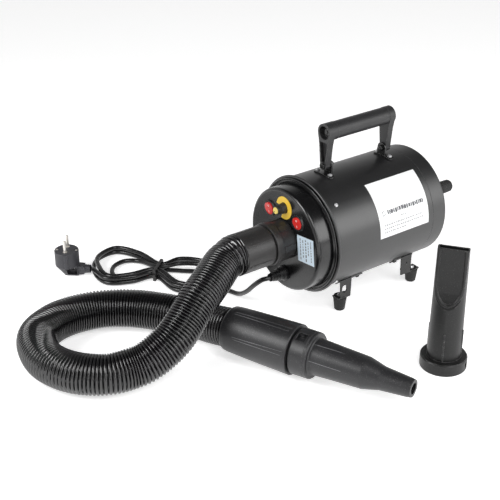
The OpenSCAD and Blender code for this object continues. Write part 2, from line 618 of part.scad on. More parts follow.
// Place of turn t, station j: nest 1 is outside, layer 1 is on top.
function nest(t, j) =
  t == 0 ? (j == 0 ? 1.5 : j < 11 ? 1 : j == 11 ? 0.5 : 0) :
  t == 1 ? 0 :
  t == 2 ? (j < 6 ? 0 : j == 6 ? 0.5 : 1) : 1;
function layer_z(t, j) = t == 0 || (t == 1 && j < 9) ? low_z : high_z;
function cord_station(t, j) =
  t == 1 && j > 3 && j < 9 ? bundle_point(inner_loop[j - 4][0], inner_loop[j - 4][1], low_z) :
  t == 0 && j > 9 ? bundle_point(first_return[j - 10][0], first_return[j - 10][1], low_z) :
  t == 1 && (j == 10 || j == 11) ?
    bundle_point(second_return[j - 10][0], second_return[j - 10][1], high_z) :
  turn_point(j, nest(t, j), layer_z(t, j));
// From inside the gland to the bundle, [x, y, z].
cord_lead = [[2, -123, 59.5], [2, -140, 59.5], [2, -162, 59.5], [-3, -171, 57],
  [-15, -175, 45], [-35, -174, 25], [-58, -171, 9.5], [-80, -173, 5], [-98, -183, 5]];
// Into the plug, [distance from the plug centre, z].
cord_end = [[36, 9.5], [26, 9]];
cord_path = concat(
  cord_lead,
  [for (t = [0:cord_turns - 2], j = [0:12]) cord_station(t, j)],
  [for (j = [0:4]) turn_point(j, 1, high_z)],
  [bundle_point(-84, -36.5, 12.8), bundle_point(-94, -27, 12.2)],
  [for (p = cord_end)
    [plug_place[0] + p[0] * cos(plug_angle), plug_place[1] + p[0] * sin(plug_angle), p[1]]]);
module power_cord() color([0.06, 0.06, 0.06]) bar(smooth_path(cord_path, 4), cord_r, 8);
module cable_tie() color([0.1, 0.1, 0.1])
  translate([bundle_place[0], bundle_place[1], 0])
    rotate([0, 0, atan2(bundle_along[1], bundle_along[0])]) difference() {
      union() {
        box([-2.2, -19.4, 0.05], [4.4, 38.8, 18.2]);
        box([-3, -23, 7], [6, 4.4, 4.8]);
      }
      box([-5, -18.2, 0.6], [10, 36.4, 16.9]);
    }

// ---- plug: angled, pins up, lying on its back ------------------------------------------
pin_y = [-9.5, 9.5];
module on_plug() translate(plug_place) rotate([0, 0, plug_angle]) children();
// Local z runs outward along the cord entry.
module on_entry(x) translate([x, 0, 9]) rotate([0, 90, 0]) children();
module plug_body() color([0.17, 0.17, 0.19]) on_plug() difference() {
  union() {
    post(17, 18.4, 23);
    cone(40, 18.4, 17.4, 1);
    hull() {
      post(16.5, 18.2, 0.6, 32);
      box([-2, -9, 1.2], [20, 18, 2]);
    }
    hull() {
      box([9, -8, 1.2], [1, 16, 15]);
      box([25, -6.6, 2.4], [1, 13.2, 13.2]);
    }
    // ribbed sleeve round the cord
    on_entry(25) cylinder(r1 = 6.8, r2 = 6, h = 10.2);
    for (x = [27, 30.3, 33.6]) on_entry(x) cylinder(r = 6.9 - 0.07 * (x - 27), h = 1.5);
    box([0, -19.2, 14], [5, 5, 25]);
  }
  on_entry(24) cylinder(r = 3.75, h = 20, $fn = 48);
  on_entry(25) cylinder(r1 = 3.75, r2 = 5.6, h = 11.2, $fn = 48);
  // pull loop: a thin web with a three-sided opening
  translate([8.5, 0, 12.8]) rotate([90, -30, 0])
    cylinder(r = 6.4, h = 60, center = true, $fn = 3);
  mirrored_pair([0, 1, 0]) box([1.5, 3.3, 3.2], [14.5, 16, 13]);
  for (y = pin_y) translate([0, y, 29]) cylinder(r = 2.45, h = 20, $fn = 48);
  for (x = [-18, 12]) box([x, -3.2, 31], [6, 6.4, 20]);
}
module plug_pins() color("silver") on_plug() for (y = pin_y) translate([0, y, 30]) {
  cylinder(r = 2.4, h = 29.4, $fn = 64);
  cone(29.4, 2.4, 1.3, 1.1, 64);
  post(11.05, 3.3, 0.8, 48);
}
module plug_earth_clips() color("silver") on_plug() mirrored_pair([1, 0, 0])
  translate([13.2, -2.6, 31.4]) {
    cube([1, 5.2, 8.6]);
    cube([3.6, 5.2, 1]);
    box([0, 0, 8.1], [3.4, 5.2, 0.9]);
  }

// ---- blower unit -----------------------------------------------------------------------
shaft_r = 4;
shaft_bore_r = shaft_r + 0.02;
bearing_r = 11;
bearing_seat_r = bearing_r + 0.05;
core_y = -28; // front face of the armature and stator cores
core_l = 32;
module fan_housing() color([0.7, 0.7, 0.72]) on_axis()
  turned([[62.5, 22], [64, 22], [64, 60], [24, 60], [24, 58.5], [62.5, 58.5]]);
module fan_stage_plate() color([0.65, 0.65, 0.67]) on_axis() difference() {
  union() {
    post(40, 62.4, 1.5);
    spin([0:45:315]) box([24, -0.6, 38], [34, 1.2, 2.5]);
  }
  post(30, 14, 20);
}
// Back plate, hub, seven blades and a front ring with the air inlet.
module impeller(y) on_axis() translate([0, 0, y]) difference() {
  union() {
    cylinder(r = 57, h = 1.2);
    cylinder(r = 9, h = 11);
    spin([0:360 / 7:359]) translate([10, 0, 0.6]) rotate([0, 0, 24]) cube([44, 1, 9.6]);
    translate([0, 0, 10]) ring(57, 23, 1.2, 4);
  }
  post(-1, shaft_bore_r, 20);
}
module impellers() color([0.78, 0.78, 0.8]) for (y = [44.5, 25]) impeller(y);
module rotor_shaft() color("silver") {
  y_cylinder(0, axis_z, shaft_r, -61, 58);
  y_hex(0, axis_z, 7, 56, 60.5);
  y_cylinder(0, axis_z, 7.4, 36.4, 44.3);
  y_cylinder(0, axis_z, 6, 19, 24.8);
}
module armature() color([0.55, 0.42, 0.3]) {
  // slotted core with tapered winding ends
  on_axis() difference() {
    union() {
      post(core_y, 22.4, core_l);
      cone(-36, 14, 18, 8.1);
      cone(3.9, 18, 14, 5);
    }
    post(-50, shaft_bore_r, 90);
    spin([0:30:330]) box([19, -1, -29], [5, 2, 34]);
  }
  // commutator
  on_axis() difference() {
    post(-47, 11, 9);
    post(-50, shaft_bore_r, 20);
    spin([0:20:340]) box([9.5, -0.25, -48], [3, 0.5, 12]);
  }
}
module stator_core() color([0.5, 0.5, 0.52]) on_axis() translate([0, 0, core_y]) difference() {
  cylinder(r = 42, h = core_l);
  post(-1, 23, 40);
  for (y = [20, -34]) box([-9, y, -1], [18, 14, 40]);
}
module field_windings() color([0.72, 0.4, 0.2])
  for (y = [-35.2, 4.1], x = [7, -47]) on_axis() translate([0, 0, y]) intersection() {
    ring(36, 24.5, 7, 10);
    box([x, -30, -1], [40, 60, 12]);
  }
module motor_frame() color([0.75, 0.75, 0.77]) on_axis() difference() {
  union() {
    post(16, 62.3, 3);
    post(10.5, 14, 6);
    for (x = [43, -49]) box([x, -6, -58], [6, 12, 75]);
    box([-49, -6, -60], [98, 12, 5]);
    post(-60, 14, 9);
  }
  post(10, bearing_seat_r, 7.2);
  post(-59, bearing_seat_r, 12);
  post(-70, 5, 100);
  post(15, 6.6, 6);
  spin([22.5:45:337.5]) box([44, -7, 12], [14, 14, 12]);
}
module motor_bearings() color("silver") for (y = [10.4, -58.8])
  on_axis() translate([0, 0, y]) ring(bearing_r, shaft_r + 0.05, 6.6, 10);
module brush_holders() color([0.8, 0.65, 0.3]) translate([0, 0, axis_z])
  mirrored_pair([0, 0, 1]) translate([-5, -47, 12.5]) difference() {
    cube([10, 9, 22]);
    box([1.9, 1.4, -1], [6.2, 6.2, 30]);
  }
module carbon_brushes() color([0.15, 0.15, 0.16]) translate([0, 0, axis_z])
  mirrored_pair([0, 0, 1]) box([-3, -45.5, 11.1], [6, 6, 18]);
module motor_bulkhead() color([0.6, 0.6, 0.62]) on_axis() translate([0, 0, 30])
  ring(81, 67.7, 2, 4);
module rubber_mount_ring() color([0.08, 0.08, 0.08]) on_axis()
  turned([[64.1, 26], [71, 26], [71, 29.9], [67.6, 29.9], [67.6, 32.1], [71, 32.1], [71, 36],
    [64.1, 36]]);
// Two crossed plates between a front disc and a rear disc with four holes.
module heater_frame() color([0.85, 0.8, 0.65]) on_axis() {
  spin([45, 135]) box([-28.5, -0.5, -124], [57, 1, 50]);
  post(-124, 30, 1);
  translate([0, 0, -75]) difference() {
    cylinder(r = 36, h = 1);
    spin([0:90:270]) translate([16, 0, -1]) cylinder(r = 9, h = 4);
  }
}
coil_r = 30.2;
// Seven turns in steps of 15 degrees.
module heater_coil() color([0.6, 0.6, 0.62]) bar(
  [for (i = [0:168]) let(a = i * 15)
    [coil_r * cos(a), -119 + i * 0.235, axis_z + coil_r * sin(a)]],
  0.9, 6, [0, 1, 0]);
module control_board() color([0.1, 0.4, 0.2]) translate([-26, -110, 50]) {
  cube([52, 1.6, 28]);
  box([4, -8, 3], [12, 8.1, 16]);
  box([36, -9, 3], [13, 9.1, 20]);
  box([20, -6, 17], [13, 6.1, 8]);
}

barrel_shell();
front_cover();
front_cover_screws();
rear_cover();
rear_cover_screws();
filter_cover();
filter_foam();
rear_rubber_feet();
handle_front_arm();
handle_rear_arm();
handle_grip();
handle_tie_rod();
handle_pivot_bolts();
handle_brackets();
bracket_screws();
foot_brackets();
foot_bracket_screws();
rubber_feet();
foot_bolts();
speed_knob();
knob_cap();
pot_shaft();
dial_plate();
potentiometer();
switch_left();
switch_right();
rocker_left();
rocker_right();
panel_label();
barrel_label();
outlet_stub();
outlet_ring();
hose_cuff();
hose();
wand_grip();
round_nozzle();
flat_nozzle();
cord_gland();
gland_nut();
power_cord();
cable_tie();
plug_body();
plug_pins();
plug_earth_clips();
fan_housing();
fan_stage_plate();
impellers();
rotor_shaft();
armature();
stator_core();
field_windings();
motor_frame();
motor_bearings();
brush_holders();
carbon_brushes();
motor_bulkhead();
rubber_mount_ring();
heater_frame();
heater_coil();
control_board();
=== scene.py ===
# A machine with a horizontal barrel, a ribbed hose ending in a wand and nozzle, a coiled power
# cord and a loose flat nozzle standing beside it. The barrel lies along Y above x = 0, its
# switches and hose outlet face -Y, and the floor is z = 0. Lengths of the pieces built here
# are in mm; materials, stage, lights and camera are in metres.
import json
import math
import random

import bmesh
import bpy
import numpy as np
from mathutils import Matrix, Vector


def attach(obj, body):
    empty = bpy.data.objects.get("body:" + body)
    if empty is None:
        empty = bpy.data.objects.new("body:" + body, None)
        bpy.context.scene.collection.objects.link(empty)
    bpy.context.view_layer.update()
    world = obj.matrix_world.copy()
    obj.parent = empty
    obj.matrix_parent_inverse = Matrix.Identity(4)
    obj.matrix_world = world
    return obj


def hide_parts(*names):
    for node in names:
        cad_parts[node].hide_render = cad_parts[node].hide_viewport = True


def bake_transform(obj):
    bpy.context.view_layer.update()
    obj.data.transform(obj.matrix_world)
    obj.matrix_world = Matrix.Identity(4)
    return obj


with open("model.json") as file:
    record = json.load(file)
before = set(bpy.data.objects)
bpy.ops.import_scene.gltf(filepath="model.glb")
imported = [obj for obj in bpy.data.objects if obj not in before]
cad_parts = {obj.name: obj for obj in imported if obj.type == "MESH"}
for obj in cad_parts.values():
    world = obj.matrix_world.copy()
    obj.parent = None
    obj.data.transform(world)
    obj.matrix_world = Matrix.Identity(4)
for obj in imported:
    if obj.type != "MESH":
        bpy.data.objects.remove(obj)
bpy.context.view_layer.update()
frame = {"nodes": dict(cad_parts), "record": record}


MM = 0.001
BARREL_AXIS_Z = 111.0
LOOSE_NOZZLE_BASE = (242.4, -55.9, 0.0)


# ------------------------------------------------------------------------------ materials
class ShaderTree:
    """A material with one Principled shader, and short ways to add and link nodes."""

    def __init__(self, name):
        self.material = bpy.data.materials.new(name)
        self.material.use_nodes = True
        self.tree = self.material.node_tree
        self.tree.nodes.clear()
        output = self.add("ShaderNodeOutputMaterial")
        self.position = self.add("ShaderNodeTexCoord").outputs["Object"]
        self.shader = self.add("ShaderNodeBsdfPrincipled")
        self.put(output.inputs[0], self.shader.outputs[0])

    def add(self, kind, **settings):
        node = self.tree.nodes.new(kind)
        for key, value in settings.items():
            setattr(node, key, value)
        return node

    def put(self, socket, value):
        """Link an output socket to an input, or set the input to a plain value."""
        if isinstance(value, bpy.types.NodeSocket):
            self.tree.links.new(value, socket)
        else:
            socket.default_value = value

    def shade(self, inputs):
        for key, value in inputs.items():
            self.put(self.shader.inputs[key], value)

    def math(self, operation, *values, clamp=False):
        node = self.add("ShaderNodeMath", operation=operation, use_clamp=clamp)
        for socket, value in zip(node.inputs, values):
            self.put(socket, value)
        return node.outputs[0]

    def noise(self, scale, detail=3.0, roughness=0.55, vector=None, distortion=0.0):
        node = self.add("ShaderNodeTexNoise")
        self.put(node.inputs["Vector"], vector or self.position)
        node.inputs["Scale"].default_value = scale
        node.inputs["Detail"].default_value = detail
        node.inputs["Roughness"].default_value = roughness
        node.inputs["Distortion"].default_value = distortion
        return node.outputs["Fac"]

    def stretch(self, scale):
        node = self.add("ShaderNodeMapping")
        self.put(node.inputs["Vector"], self.position)
        node.inputs["Scale"].default_value = scale
        return node.outputs[0]

    def ramp(self, value, low, high):
        """Black below low, white above high."""
        node = self.add("ShaderNodeValToRGB")
        node.color_ramp.elements[0].position = low
        node.color_ramp.elements[1].position = high
        self.put(node.inputs[0], value)
        return node.outputs["Color"]

    def mix(self, factor, *colours):
        node = self.add("ShaderNodeMix", data_type="RGBA")
        self.put(node.inputs[0], factor)
        for index, colour in zip((6, 7), colours):
            self.put(node.inputs[index], (*colour, 1) if isinstance(colour, tuple) else colour)
        return node.outputs[2]

    def bump(self, height, distance, normal, strength=1.0):
        node = self.add("ShaderNodeBump")
        node.inputs["Strength"].default_value = strength
        node.inputs["Distance"].default_value = distance
        self.put(node.inputs["Height"], height)
        if normal is not None:
            self.put(node.inputs["Normal"], normal)
        return node.outputs[0]


def wear_and_highlight_edges(tree, colour, bevel_normal, worn_and_highlight_colour, strength):
    """Pale patches where the bevelled normal leaves the true one: rubbed edges, and on the
    nozzles also a painted highlight along rims and chamfers.
    """
    geometry = tree.add("ShaderNodeNewGeometry")
    dot = tree.add("ShaderNodeVectorMath", operation="DOT_PRODUCT")
    tree.put(dot.inputs[0], bevel_normal)
    tree.put(dot.inputs[1], geometry.outputs["Normal"])
    wear_and_highlight = tree.math("SUBTRACT", 1.0, dot.outputs["Value"], clamp=True)
    patches = tree.ramp(tree.noise(scale=160.0, detail=6.0, roughness=0.7), low=0.42, high=0.62)
    wear_and_highlight = tree.math("MULTIPLY", wear_and_highlight, patches)
    wear_and_highlight = tree.math("MULTIPLY", wear_and_highlight, strength, clamp=True)
    return tree.mix(wear_and_highlight, colour, worn_and_highlight_colour)


def add_dust(tree, colour, gloss, amount):
    """Pale, dull specks, thickest on faces that look up."""
    geometry = tree.add("ShaderNodeNewGeometry")
    normal = tree.add("ShaderNodeSeparateXYZ")
    tree.put(normal.inputs[0], geometry.outputs["Normal"])
    upward = tree.math("MULTIPLY_ADD", normal.outputs["Z"], 0.6, 0.4, clamp=True)
    specks = tree.ramp(tree.noise(scale=900.0, roughness=0.6), low=0.6, high=0.72)
    cover = tree.math("MULTIPLY", tree.math("MULTIPLY", specks, upward), amount)
    colour = tree.mix(cover, colour, (0.42, 0.41, 0.4))
    gloss = tree.math("ADD", gloss, tree.math("MULTIPLY", specks, amount * 0.3))
    return colour, gloss


def add_grain(tree, normal, scale, depth):
    """Moulded spark texture."""
    cells = tree.add("ShaderNodeTexVoronoi", feature="F1")
    tree.put(cells.inputs["Vector"], tree.position)
    cells.inputs["Scale"].default_value = scale
    height = tree.math("ADD", cells.outputs["Distance"], tree.noise(scale=scale * 1.7))
    return tree.bump(height, depth, normal)


def surface(name, colour, roughness, metallic=0.0, specular=0.5, ior=1.5, coat=0.0,
            colour_var=0.12, gloss_var=0.06, bevel=0.0005, edge=None, dust=0.0,
            scratches=0.0, brushed=None, peel=None, grain=None):
    """One finish.

    colour_var, gloss_var: unevenness; bevel: shaded edge radius;
    edge: (worn colour, strength), rubbed edges and on the nozzles also a painted highlight;
    scratches: roughness added by them; brushed: stretch of the streaks along x, y, z;
    peel, grain: (texture scale, bump depth) of sprayed paint and of moulded plastic.
    """
    tree = ShaderTree(name)
    tree.shade({"Metallic": metallic, "Specular IOR Level": specular, "IOR": ior})
    if coat:
        tree.shade({"Coat Weight": coat, "Coat Roughness": 0.08})
    darker = tuple(c * (1 - colour_var) for c in colour)
    lighter = tuple(min(1, c * (1 + colour_var)) for c in colour)
    blotches = tree.ramp(tree.noise(scale=14.0, detail=4.0), low=0.35, high=0.65)
    colour = tree.mix(blotches, darker, lighter)
    # uneven gloss: broad clouds, then fine speckle
    clouds = tree.noise(scale=35.0, detail=5.0)
    gloss = tree.math("MULTIPLY_ADD", clouds, gloss_var * 2, roughness - gloss_var)
    speckle = tree.noise(scale=700.0, detail=2.0)
    gloss = tree.math("MULTIPLY_ADD", speckle, gloss_var * 0.8, gloss)
    normal = None
    if bevel:
        rounded = tree.add("ShaderNodeBevel", samples=4)
        rounded.inputs["Radius"].default_value = bevel
        normal = rounded.outputs[0]
    if edge:
        colour = wear_and_highlight_edges(tree, colour, normal, *edge)
    if dust:
        colour, gloss = add_dust(tree, colour, gloss, dust)
    if scratches:
        lines = tree.noise(scale=420.0, detail=6.0, roughness=0.75, distortion=0.6,
                           vector=tree.stretch((1.0, 0.06, 1.0)))
        gloss = tree.math("MULTIPLY_ADD", tree.ramp(lines, low=0.63, high=0.68), scratches, gloss)
    if brushed:
        streaks = dict(scale=500.0, detail=2.0, vector=tree.stretch(brushed))
        gloss = tree.math("MULTIPLY_ADD", tree.noise(**streaks), 0.18, gloss)
        normal = tree.bump(tree.noise(**streaks), 0.00003, normal, strength=0.5)
    if peel:
        peel_scale, peel_depth = peel
        normal = tree.bump(tree.noise(scale=peel_scale, detail=2.0), peel_depth, normal)
    if grain:
        normal = add_grain(tree, normal, *grain)
    tree.shade({"Roughness": tree.math("MAXIMUM", gloss, 0.03), "Base Color": colour})
    if normal is not None:
        tree.shade({"Normal": normal})
    return tree.material


def grey(value):
    return (value, value, value)


FINISHES = {
    "black_paint": dict(
        colour=(0.0075, 0.0075, 0.008), roughness=0.36, peel=(620.0, 0.00002), gloss_var=0.05,
        dust=0.12, scratches=0.08, edge=(grey(0.16), 2.2), bevel=0.0007, ior=1.75),
    "cover_paint": dict(
        colour=(0.004, 0.004, 0.0045), roughness=0.21, peel=(620.0, 0.000007), gloss_var=0.03,
        dust=0.06, scratches=0.06, edge=(grey(0.16), 2.2), bevel=0.0007, ior=1.6),
    "gloss_black_steel": dict(
        colour=grey(0.006), roughness=0.2, peel=(420.0, 0.00003), gloss_var=0.05, dust=0.1,
        edge=(grey(0.3), 3.0), bevel=0.0006),
    "handle_plastic": dict(
        colour=(0.017, 0.017, 0.018), roughness=0.4, grain=(1500.0, 0.00004), gloss_var=0.07,
        dust=0.25, edge=(grey(0.2), 2.0), bevel=0.0011),
    # the strong pale edge here is partly wear, partly a painted highlight on the rims and
    # chamfers
    "nozzle_plastic": dict(
        colour=(0.0165, 0.0165, 0.018), roughness=0.36, grain=(1700.0, 0.00003),
        gloss_var=0.07, dust=0.3, scratches=0.1, edge=(grey(0.2), 3.0), bevel=0.0009),
    # the strong pale edge here is partly wear, partly a painted highlight on the rims and
    # chamfers
    "loose_nozzle_plastic": dict(
        colour=grey(0.0085), roughness=0.33, grain=(1700.0, 0.00003), dust=0.2, scratches=0.1,
        edge=(grey(0.24), 4.0), bevel=0.0009, specular=0.36),
    "duct_plastic": dict(
        colour=(0.019, 0.018, 0.018), roughness=0.36, grain=(1500.0, 0.00002), dust=0.2,
        edge=(grey(0.16), 2.0), bevel=0.0008),
    "hose_plastic": dict(
        colour=(0.0035, 0.0035, 0.004), roughness=0.15, gloss_var=0.03, colour_var=0.25,
        dust=0.02, bevel=0.0, ior=1.7),
    "black_rubber": dict(
        colour=grey(0.017), roughness=0.62, grain=(1300.0, 0.00006), gloss_var=0.1, dust=0.5,
        edge=(grey(0.1), 1.5), bevel=0.0009, specular=0.35),
    "cord_rubber": dict(
        colour=(0.007, 0.007, 0.0075), roughness=0.24, grain=(2200.0, 0.00001),
        gloss_var=0.08, dust=0.25, bevel=0.0004),
    "plug_plastic": dict(
        colour=(0.034, 0.034, 0.04), roughness=0.44, grain=(1600.0, 0.00004), gloss_var=0.08,
        dust=0.2, edge=((0.22, 0.22, 0.24), 2.0), bevel=0.0011),
    "zinc_screw": dict(
        colour=(0.74, 0.74, 0.75), roughness=0.24, metallic=1.0, gloss_var=0.1,
        brushed=(1, 0.2, 1), bevel=0.0004),
    "nickel_pin": dict(
        colour=(0.82, 0.79, 0.74), roughness=0.2, metallic=1.0, gloss_var=0.08,
        brushed=(1, 1, 0.08), bevel=0.0004),
    "red_rocker": dict(
        colour=(0.72, 0.03, 0.025), roughness=0.22, colour_var=0.08, dust=0.12, bevel=0.0008,
        coat=0.4, grain=(1800.0, 0.00001)),
    "yellow_cap": dict(
        colour=(0.85, 0.66, 0.16), roughness=0.35, colour_var=0.06, dust=0.1,
        grain=(1500.0, 0.00002)),
    "yellow_dial": dict(
        colour=(0.84, 0.55, 0.05), roughness=0.42, gloss_var=0.05, colour_var=0.05, dust=0.08,
        bevel=0.0002, grain=(2500.0, 0.000008)),
    "switch_black": dict(
        colour=(0.014, 0.014, 0.015), roughness=0.24, gloss_var=0.05, dust=0.15, bevel=0.0006,
        edge=(grey(0.2), 2.0)),
    "knob_black": dict(
        colour=grey(0.018), roughness=0.4, grain=(1800.0, 0.00002), dust=0.2,
        edge=(grey(0.2), 1.5)),
    "label_blue": dict(
        colour=(0.62, 0.73, 0.82), roughness=0.36, gloss_var=0.05, colour_var=0.03,
        bevel=0.0001, peel=(180.0, 0.00006)),
    "label_white": dict(
        colour=(0.86, 0.87, 0.87), roughness=0.36, gloss_var=0.05, colour_var=0.015,
        bevel=0.0001, peel=(120.0, 0.00008)),
    "filter_foam": dict(
        colour=(0.03, 0.03, 0.032), roughness=0.9, grain=(600.0, 0.0006), gloss_var=0.05,
        bevel=0.0, specular=0.2),
    "aluminium": dict(
        colour=(0.7, 0.7, 0.72), roughness=0.38, metallic=1.0, brushed=(1, 0.1, 1),
        bevel=0.0004),
    "steel": dict(
        colour=(0.5, 0.5, 0.52), roughness=0.32, metallic=1.0, brushed=(1, 0.15, 1),
        bevel=0.0004),
    "copper": dict(
        colour=(0.66, 0.3, 0.12), roughness=0.35, metallic=1.0, grain=(1200.0, 0.0002),
        bevel=0.0004),
    "brass": dict(
        colour=(0.72, 0.52, 0.2), roughness=0.3, metallic=1.0, brushed=(0.1, 1, 1),
        bevel=0.0004),
    "carbon": dict(colour=grey(0.03), roughness=0.6, grain=(1500.0, 0.00004), bevel=0.0003),
    "mica": dict(
        colour=(0.66, 0.6, 0.45), roughness=0.4, grain=(500.0, 0.0001), colour_var=0.2,
        bevel=0.0003),
    "board": dict(
        colour=(0.03, 0.2, 0.09), roughness=0.4, grain=(900.0, 0.00005), bevel=0.0002),
    "label_ink": dict(
        colour=(0.1, 0.1, 0.11), roughness=0.5, gloss_var=0.04, colour_var=0.2, bevel=0.0),
    "label_ink_light": dict(
        colour=(0.33, 0.33, 0.34), roughness=0.55, gloss_var=0.04, colour_var=0.15, bevel=0.0),
    # pale grey of the mould lines: partly wear, partly a painted highlight where they catch the
    # light
    "seam_wear_and_highlight_grey": dict(
        colour=(0.13, 0.13, 0.135), roughness=0.3, gloss_var=0.08, colour_var=0.6, bevel=0.0),
    "white_mark": dict(
        colour=(0.85, 0.82, 0.8), roughness=0.4, gloss_var=0.05, colour_var=0.05, bevel=0.0),
}
MATERIALS = {name: surface(name, **finish) for name, finish in FINISHES.items()}
FINISH_OVERRIDES = {"front_cover": "cover_paint", "flat_nozzle": "loose_nozzle_plastic"}


def finish_cad_pieces():
    slots = {part["node"]: part["material_slot"] for part in frame["record"]["subparts"]}
    for name, piece in frame["nodes"].items():
        mesh = piece.data
        mesh.materials.clear()
        mesh.materials.append(MATERIALS[FINISH_OVERRIDES.get(name, slots[name])])
        mesh.polygons.foreach_set("use_smooth", [True] * len(mesh.polygons))
        mesh.set_sharp_from_angle(angle=math.radians(28))


finish_cad_pieces()


# ------------------------------------------------------------------------------ mesh helpers
def mesh_object(name, verts, faces, material, smooth=False, sharp_degrees=None):
    mesh = bpy.data.meshes.new(name)
    mesh.from_pydata([tuple(float(c) * MM for c in v) for v in verts], [], faces)
    editable = bmesh.new()
    editable.from_mesh(mesh)
    bmesh.ops.recalc_face_normals(editable, faces=editable.faces)
    editable.to_mesh(mesh)
    editable.free()
    mesh.validate()
    piece = bpy.data.objects.new(name, mesh)
    bpy.context.scene.collection.objects.link(piece)
    mesh.materials.append(MATERIALS[material])
    mesh.polygons.foreach_set("use_smooth", [smooth] * len(mesh.polygons))
    if sharp_degrees:
        mesh.set_sharp_from_angle(angle=math.radians(sharp_degrees))
    return piece


def tube_faces(rings, sides, first=0, closed=False):
    """Quads between successive rings of vertices; closed joins the last ring to the first."""
    faces = []
    for i in range(rings if closed else rings - 1):
        here = first + i * sides
        there = first + (i + 1) % rings * sides
        for j in range(sides):
            k = (j + 1) % sides
            faces.append((here + j, here + k, there + k, there + j))
    return faces


def end_caps(rings, sides, first=0):
    last = first + (rings - 1) * sides
    return [tuple(range(first, first + sides)), tuple(range(last, last + sides))[::-1]]


def prism_faces(sides):
    """Faces of a prism given as one outline followed by the other."""
    walls = [(i, sides + i, sides + (i + 1) % sides, (i + 1) % sides) for i in range(sides)]
    return end_caps(2, sides) + walls


def lookup(table, x):
    """Value at x in a table of (position, value) rows."""
    return float(np.interp(x, *zip(*table)))


def arc_lengths(points):
    return np.r_[0, np.cumsum(np.linalg.norm(np.diff(points, axis=0), axis=1))]


def catmull(controls, step):
    """Points every `step` mm along a smooth curve through controls, and their arc lengths."""
    ctrl = np.array(controls, float)
    ctrl = np.vstack([2 * ctrl[0] - ctrl[1], ctrl, 2 * ctrl[-1] - ctrl[-2]])
    fine = []
    for i in range(1, len(ctrl) - 2):
        a, b, c, d = ctrl[i - 1:i + 3]
        for t in np.linspace(0, 1, 24, endpoint=False):
            fine.append(0.5 * (2 * b + (c - a) * t + (2 * a - 5 * b + 4 * c - d) * t * t
                               + (3 * b - a - 3 * c + d) * t ** 3))
    fine.append(ctrl[-2])
    fine = np.array(fine)
    lengths = arc_lengths(fine)
    count = max(2, int(round(lengths[-1] / step)))
    even = np.linspace(0, lengths[-1], count + 1)
    return np.stack([np.interp(even, lengths, fine[:, i]) for i in range(3)], 1), even


def smooth_line(points, rounds):
    points = points.copy()
    for _ in range(rounds):
        points[1:-1] = (points[:-2] + 2 * points[1:-1] + points[2:]) / 4
    return points


def cross_axes(points):
    """Side and up directions at each station, carried along without twist."""
    tangents = np.gradient(points, axis=0)
    tangents /= np.linalg.norm(tangents, axis=1)[:, None]
    side = np.cross(tangents[0], [0, 0, 1.0])
    side /= np.linalg.norm(side)
    sides = []
    for tangent in tangents:
        side = side - tangent * (side @ tangent)
        side /= np.linalg.norm(side)
        sides.append(side)
    sides = np.array(sides)
    return sides, np.cross(sides, tangents)


def circle_angles(count):
    return np.linspace(0, 2 * math.pi, count, endpoint=False)


def ring(centre, side, up, radius, angles):
    return (centre + (np.cos(angles) * radius)[:, None] * side
            + (np.sin(angles) * radius)[:, None] * up)


# ------------------------------------------------------------------------------ hose
# centre line (x, y, z), from the barrel's outlet to the wand
HOSE_PATH = [
    (0, -217.5, 113), (0, -221, 113), (0.1, -224.5, 112.95), (0.9, -229.5, 112.3),
    (3.6, -243, 109), (16.9, -269.5, 99.5), (30.1, -300.6, 86.7), (40.1, -328.3, 69.2),
    (47.8, -355.2, 52.5), (47.7, -385.1, 37.5), (42.5, -409.7, 29.6), (30.5, -446.4, 27.3),
    (-1.6, -477.9, 27.3), (-46.8, -490.5, 27.3), (-96.2, -477, 27.3), (-117.8, -447.2, 27.3),
    (-123.9, -412.5, 27.3), (-114.2, -370.9, 27.3), (-87.4, -331.3, 27.3),
    (-53.1, -302.9, 27.3), (-11.4, -278.4, 28.2), (20.4, -268.5, 31.2), (43.9, -260.2, 34.4),
    (62.6, -253, 34.6)]
RIB_PITCH = 4.3
RIB_STEPS = 10           # stations per rib
HOSE_SEGMENTS = 56
VALLEY_RADIUS = 23.95
RIB_HEIGHT = 3.0
HOSE_WALL_RADIUS = 23.7  # plain inner wall
CUFF_START = 4.0         # the swelling over the cuff fades out over CUFF_FADE
CUFF_FADE = 12.0
CUFF_SWELL = 2.3
WAND_GRIP_LENGTH = 21.0  # end squeezed inside the wand
WAND_SQUEEZE = 0.45
HOSE_SPLIT = (-64, -311, 27.3)    # the fixed run ends near here

hose_line = smooth_line(catmull(HOSE_PATH, RIB_PITCH / RIB_STEPS)[0], rounds=40)
hose_at = arc_lengths(hose_line)
hose_sides, hose_ups = cross_axes(hose_line)
wobble = np.interp(np.arange(len(hose_at)), np.linspace(0, len(hose_at), 60),
                   np.random.default_rng(7).normal(0, 0.16, 60))


def hose_radius(i, angles):
    along = hose_at[i]
    phase = (along + wobble[i] * 1.2) / RIB_PITCH - angles / (2 * math.pi)
    # round ridges with narrow valleys, winding as a helix
    ridge = np.abs(np.sin(math.pi * phase)) ** 0.75
    radius = VALLEY_RADIUS + RIB_HEIGHT * ridge + wobble[i] * 0.25
    if along < CUFF_START + CUFF_FADE:
        fade = min(1.0, max(0.0, (along - CUFF_START) / CUFF_FADE))
        radius = radius + CUFF_SWELL * (0.5 + 0.5 * math.cos(math.pi * fade))
    if along > hose_at[-1] - WAND_GRIP_LENGTH:
        radius = radius - WAND_SQUEEZE
    return radius


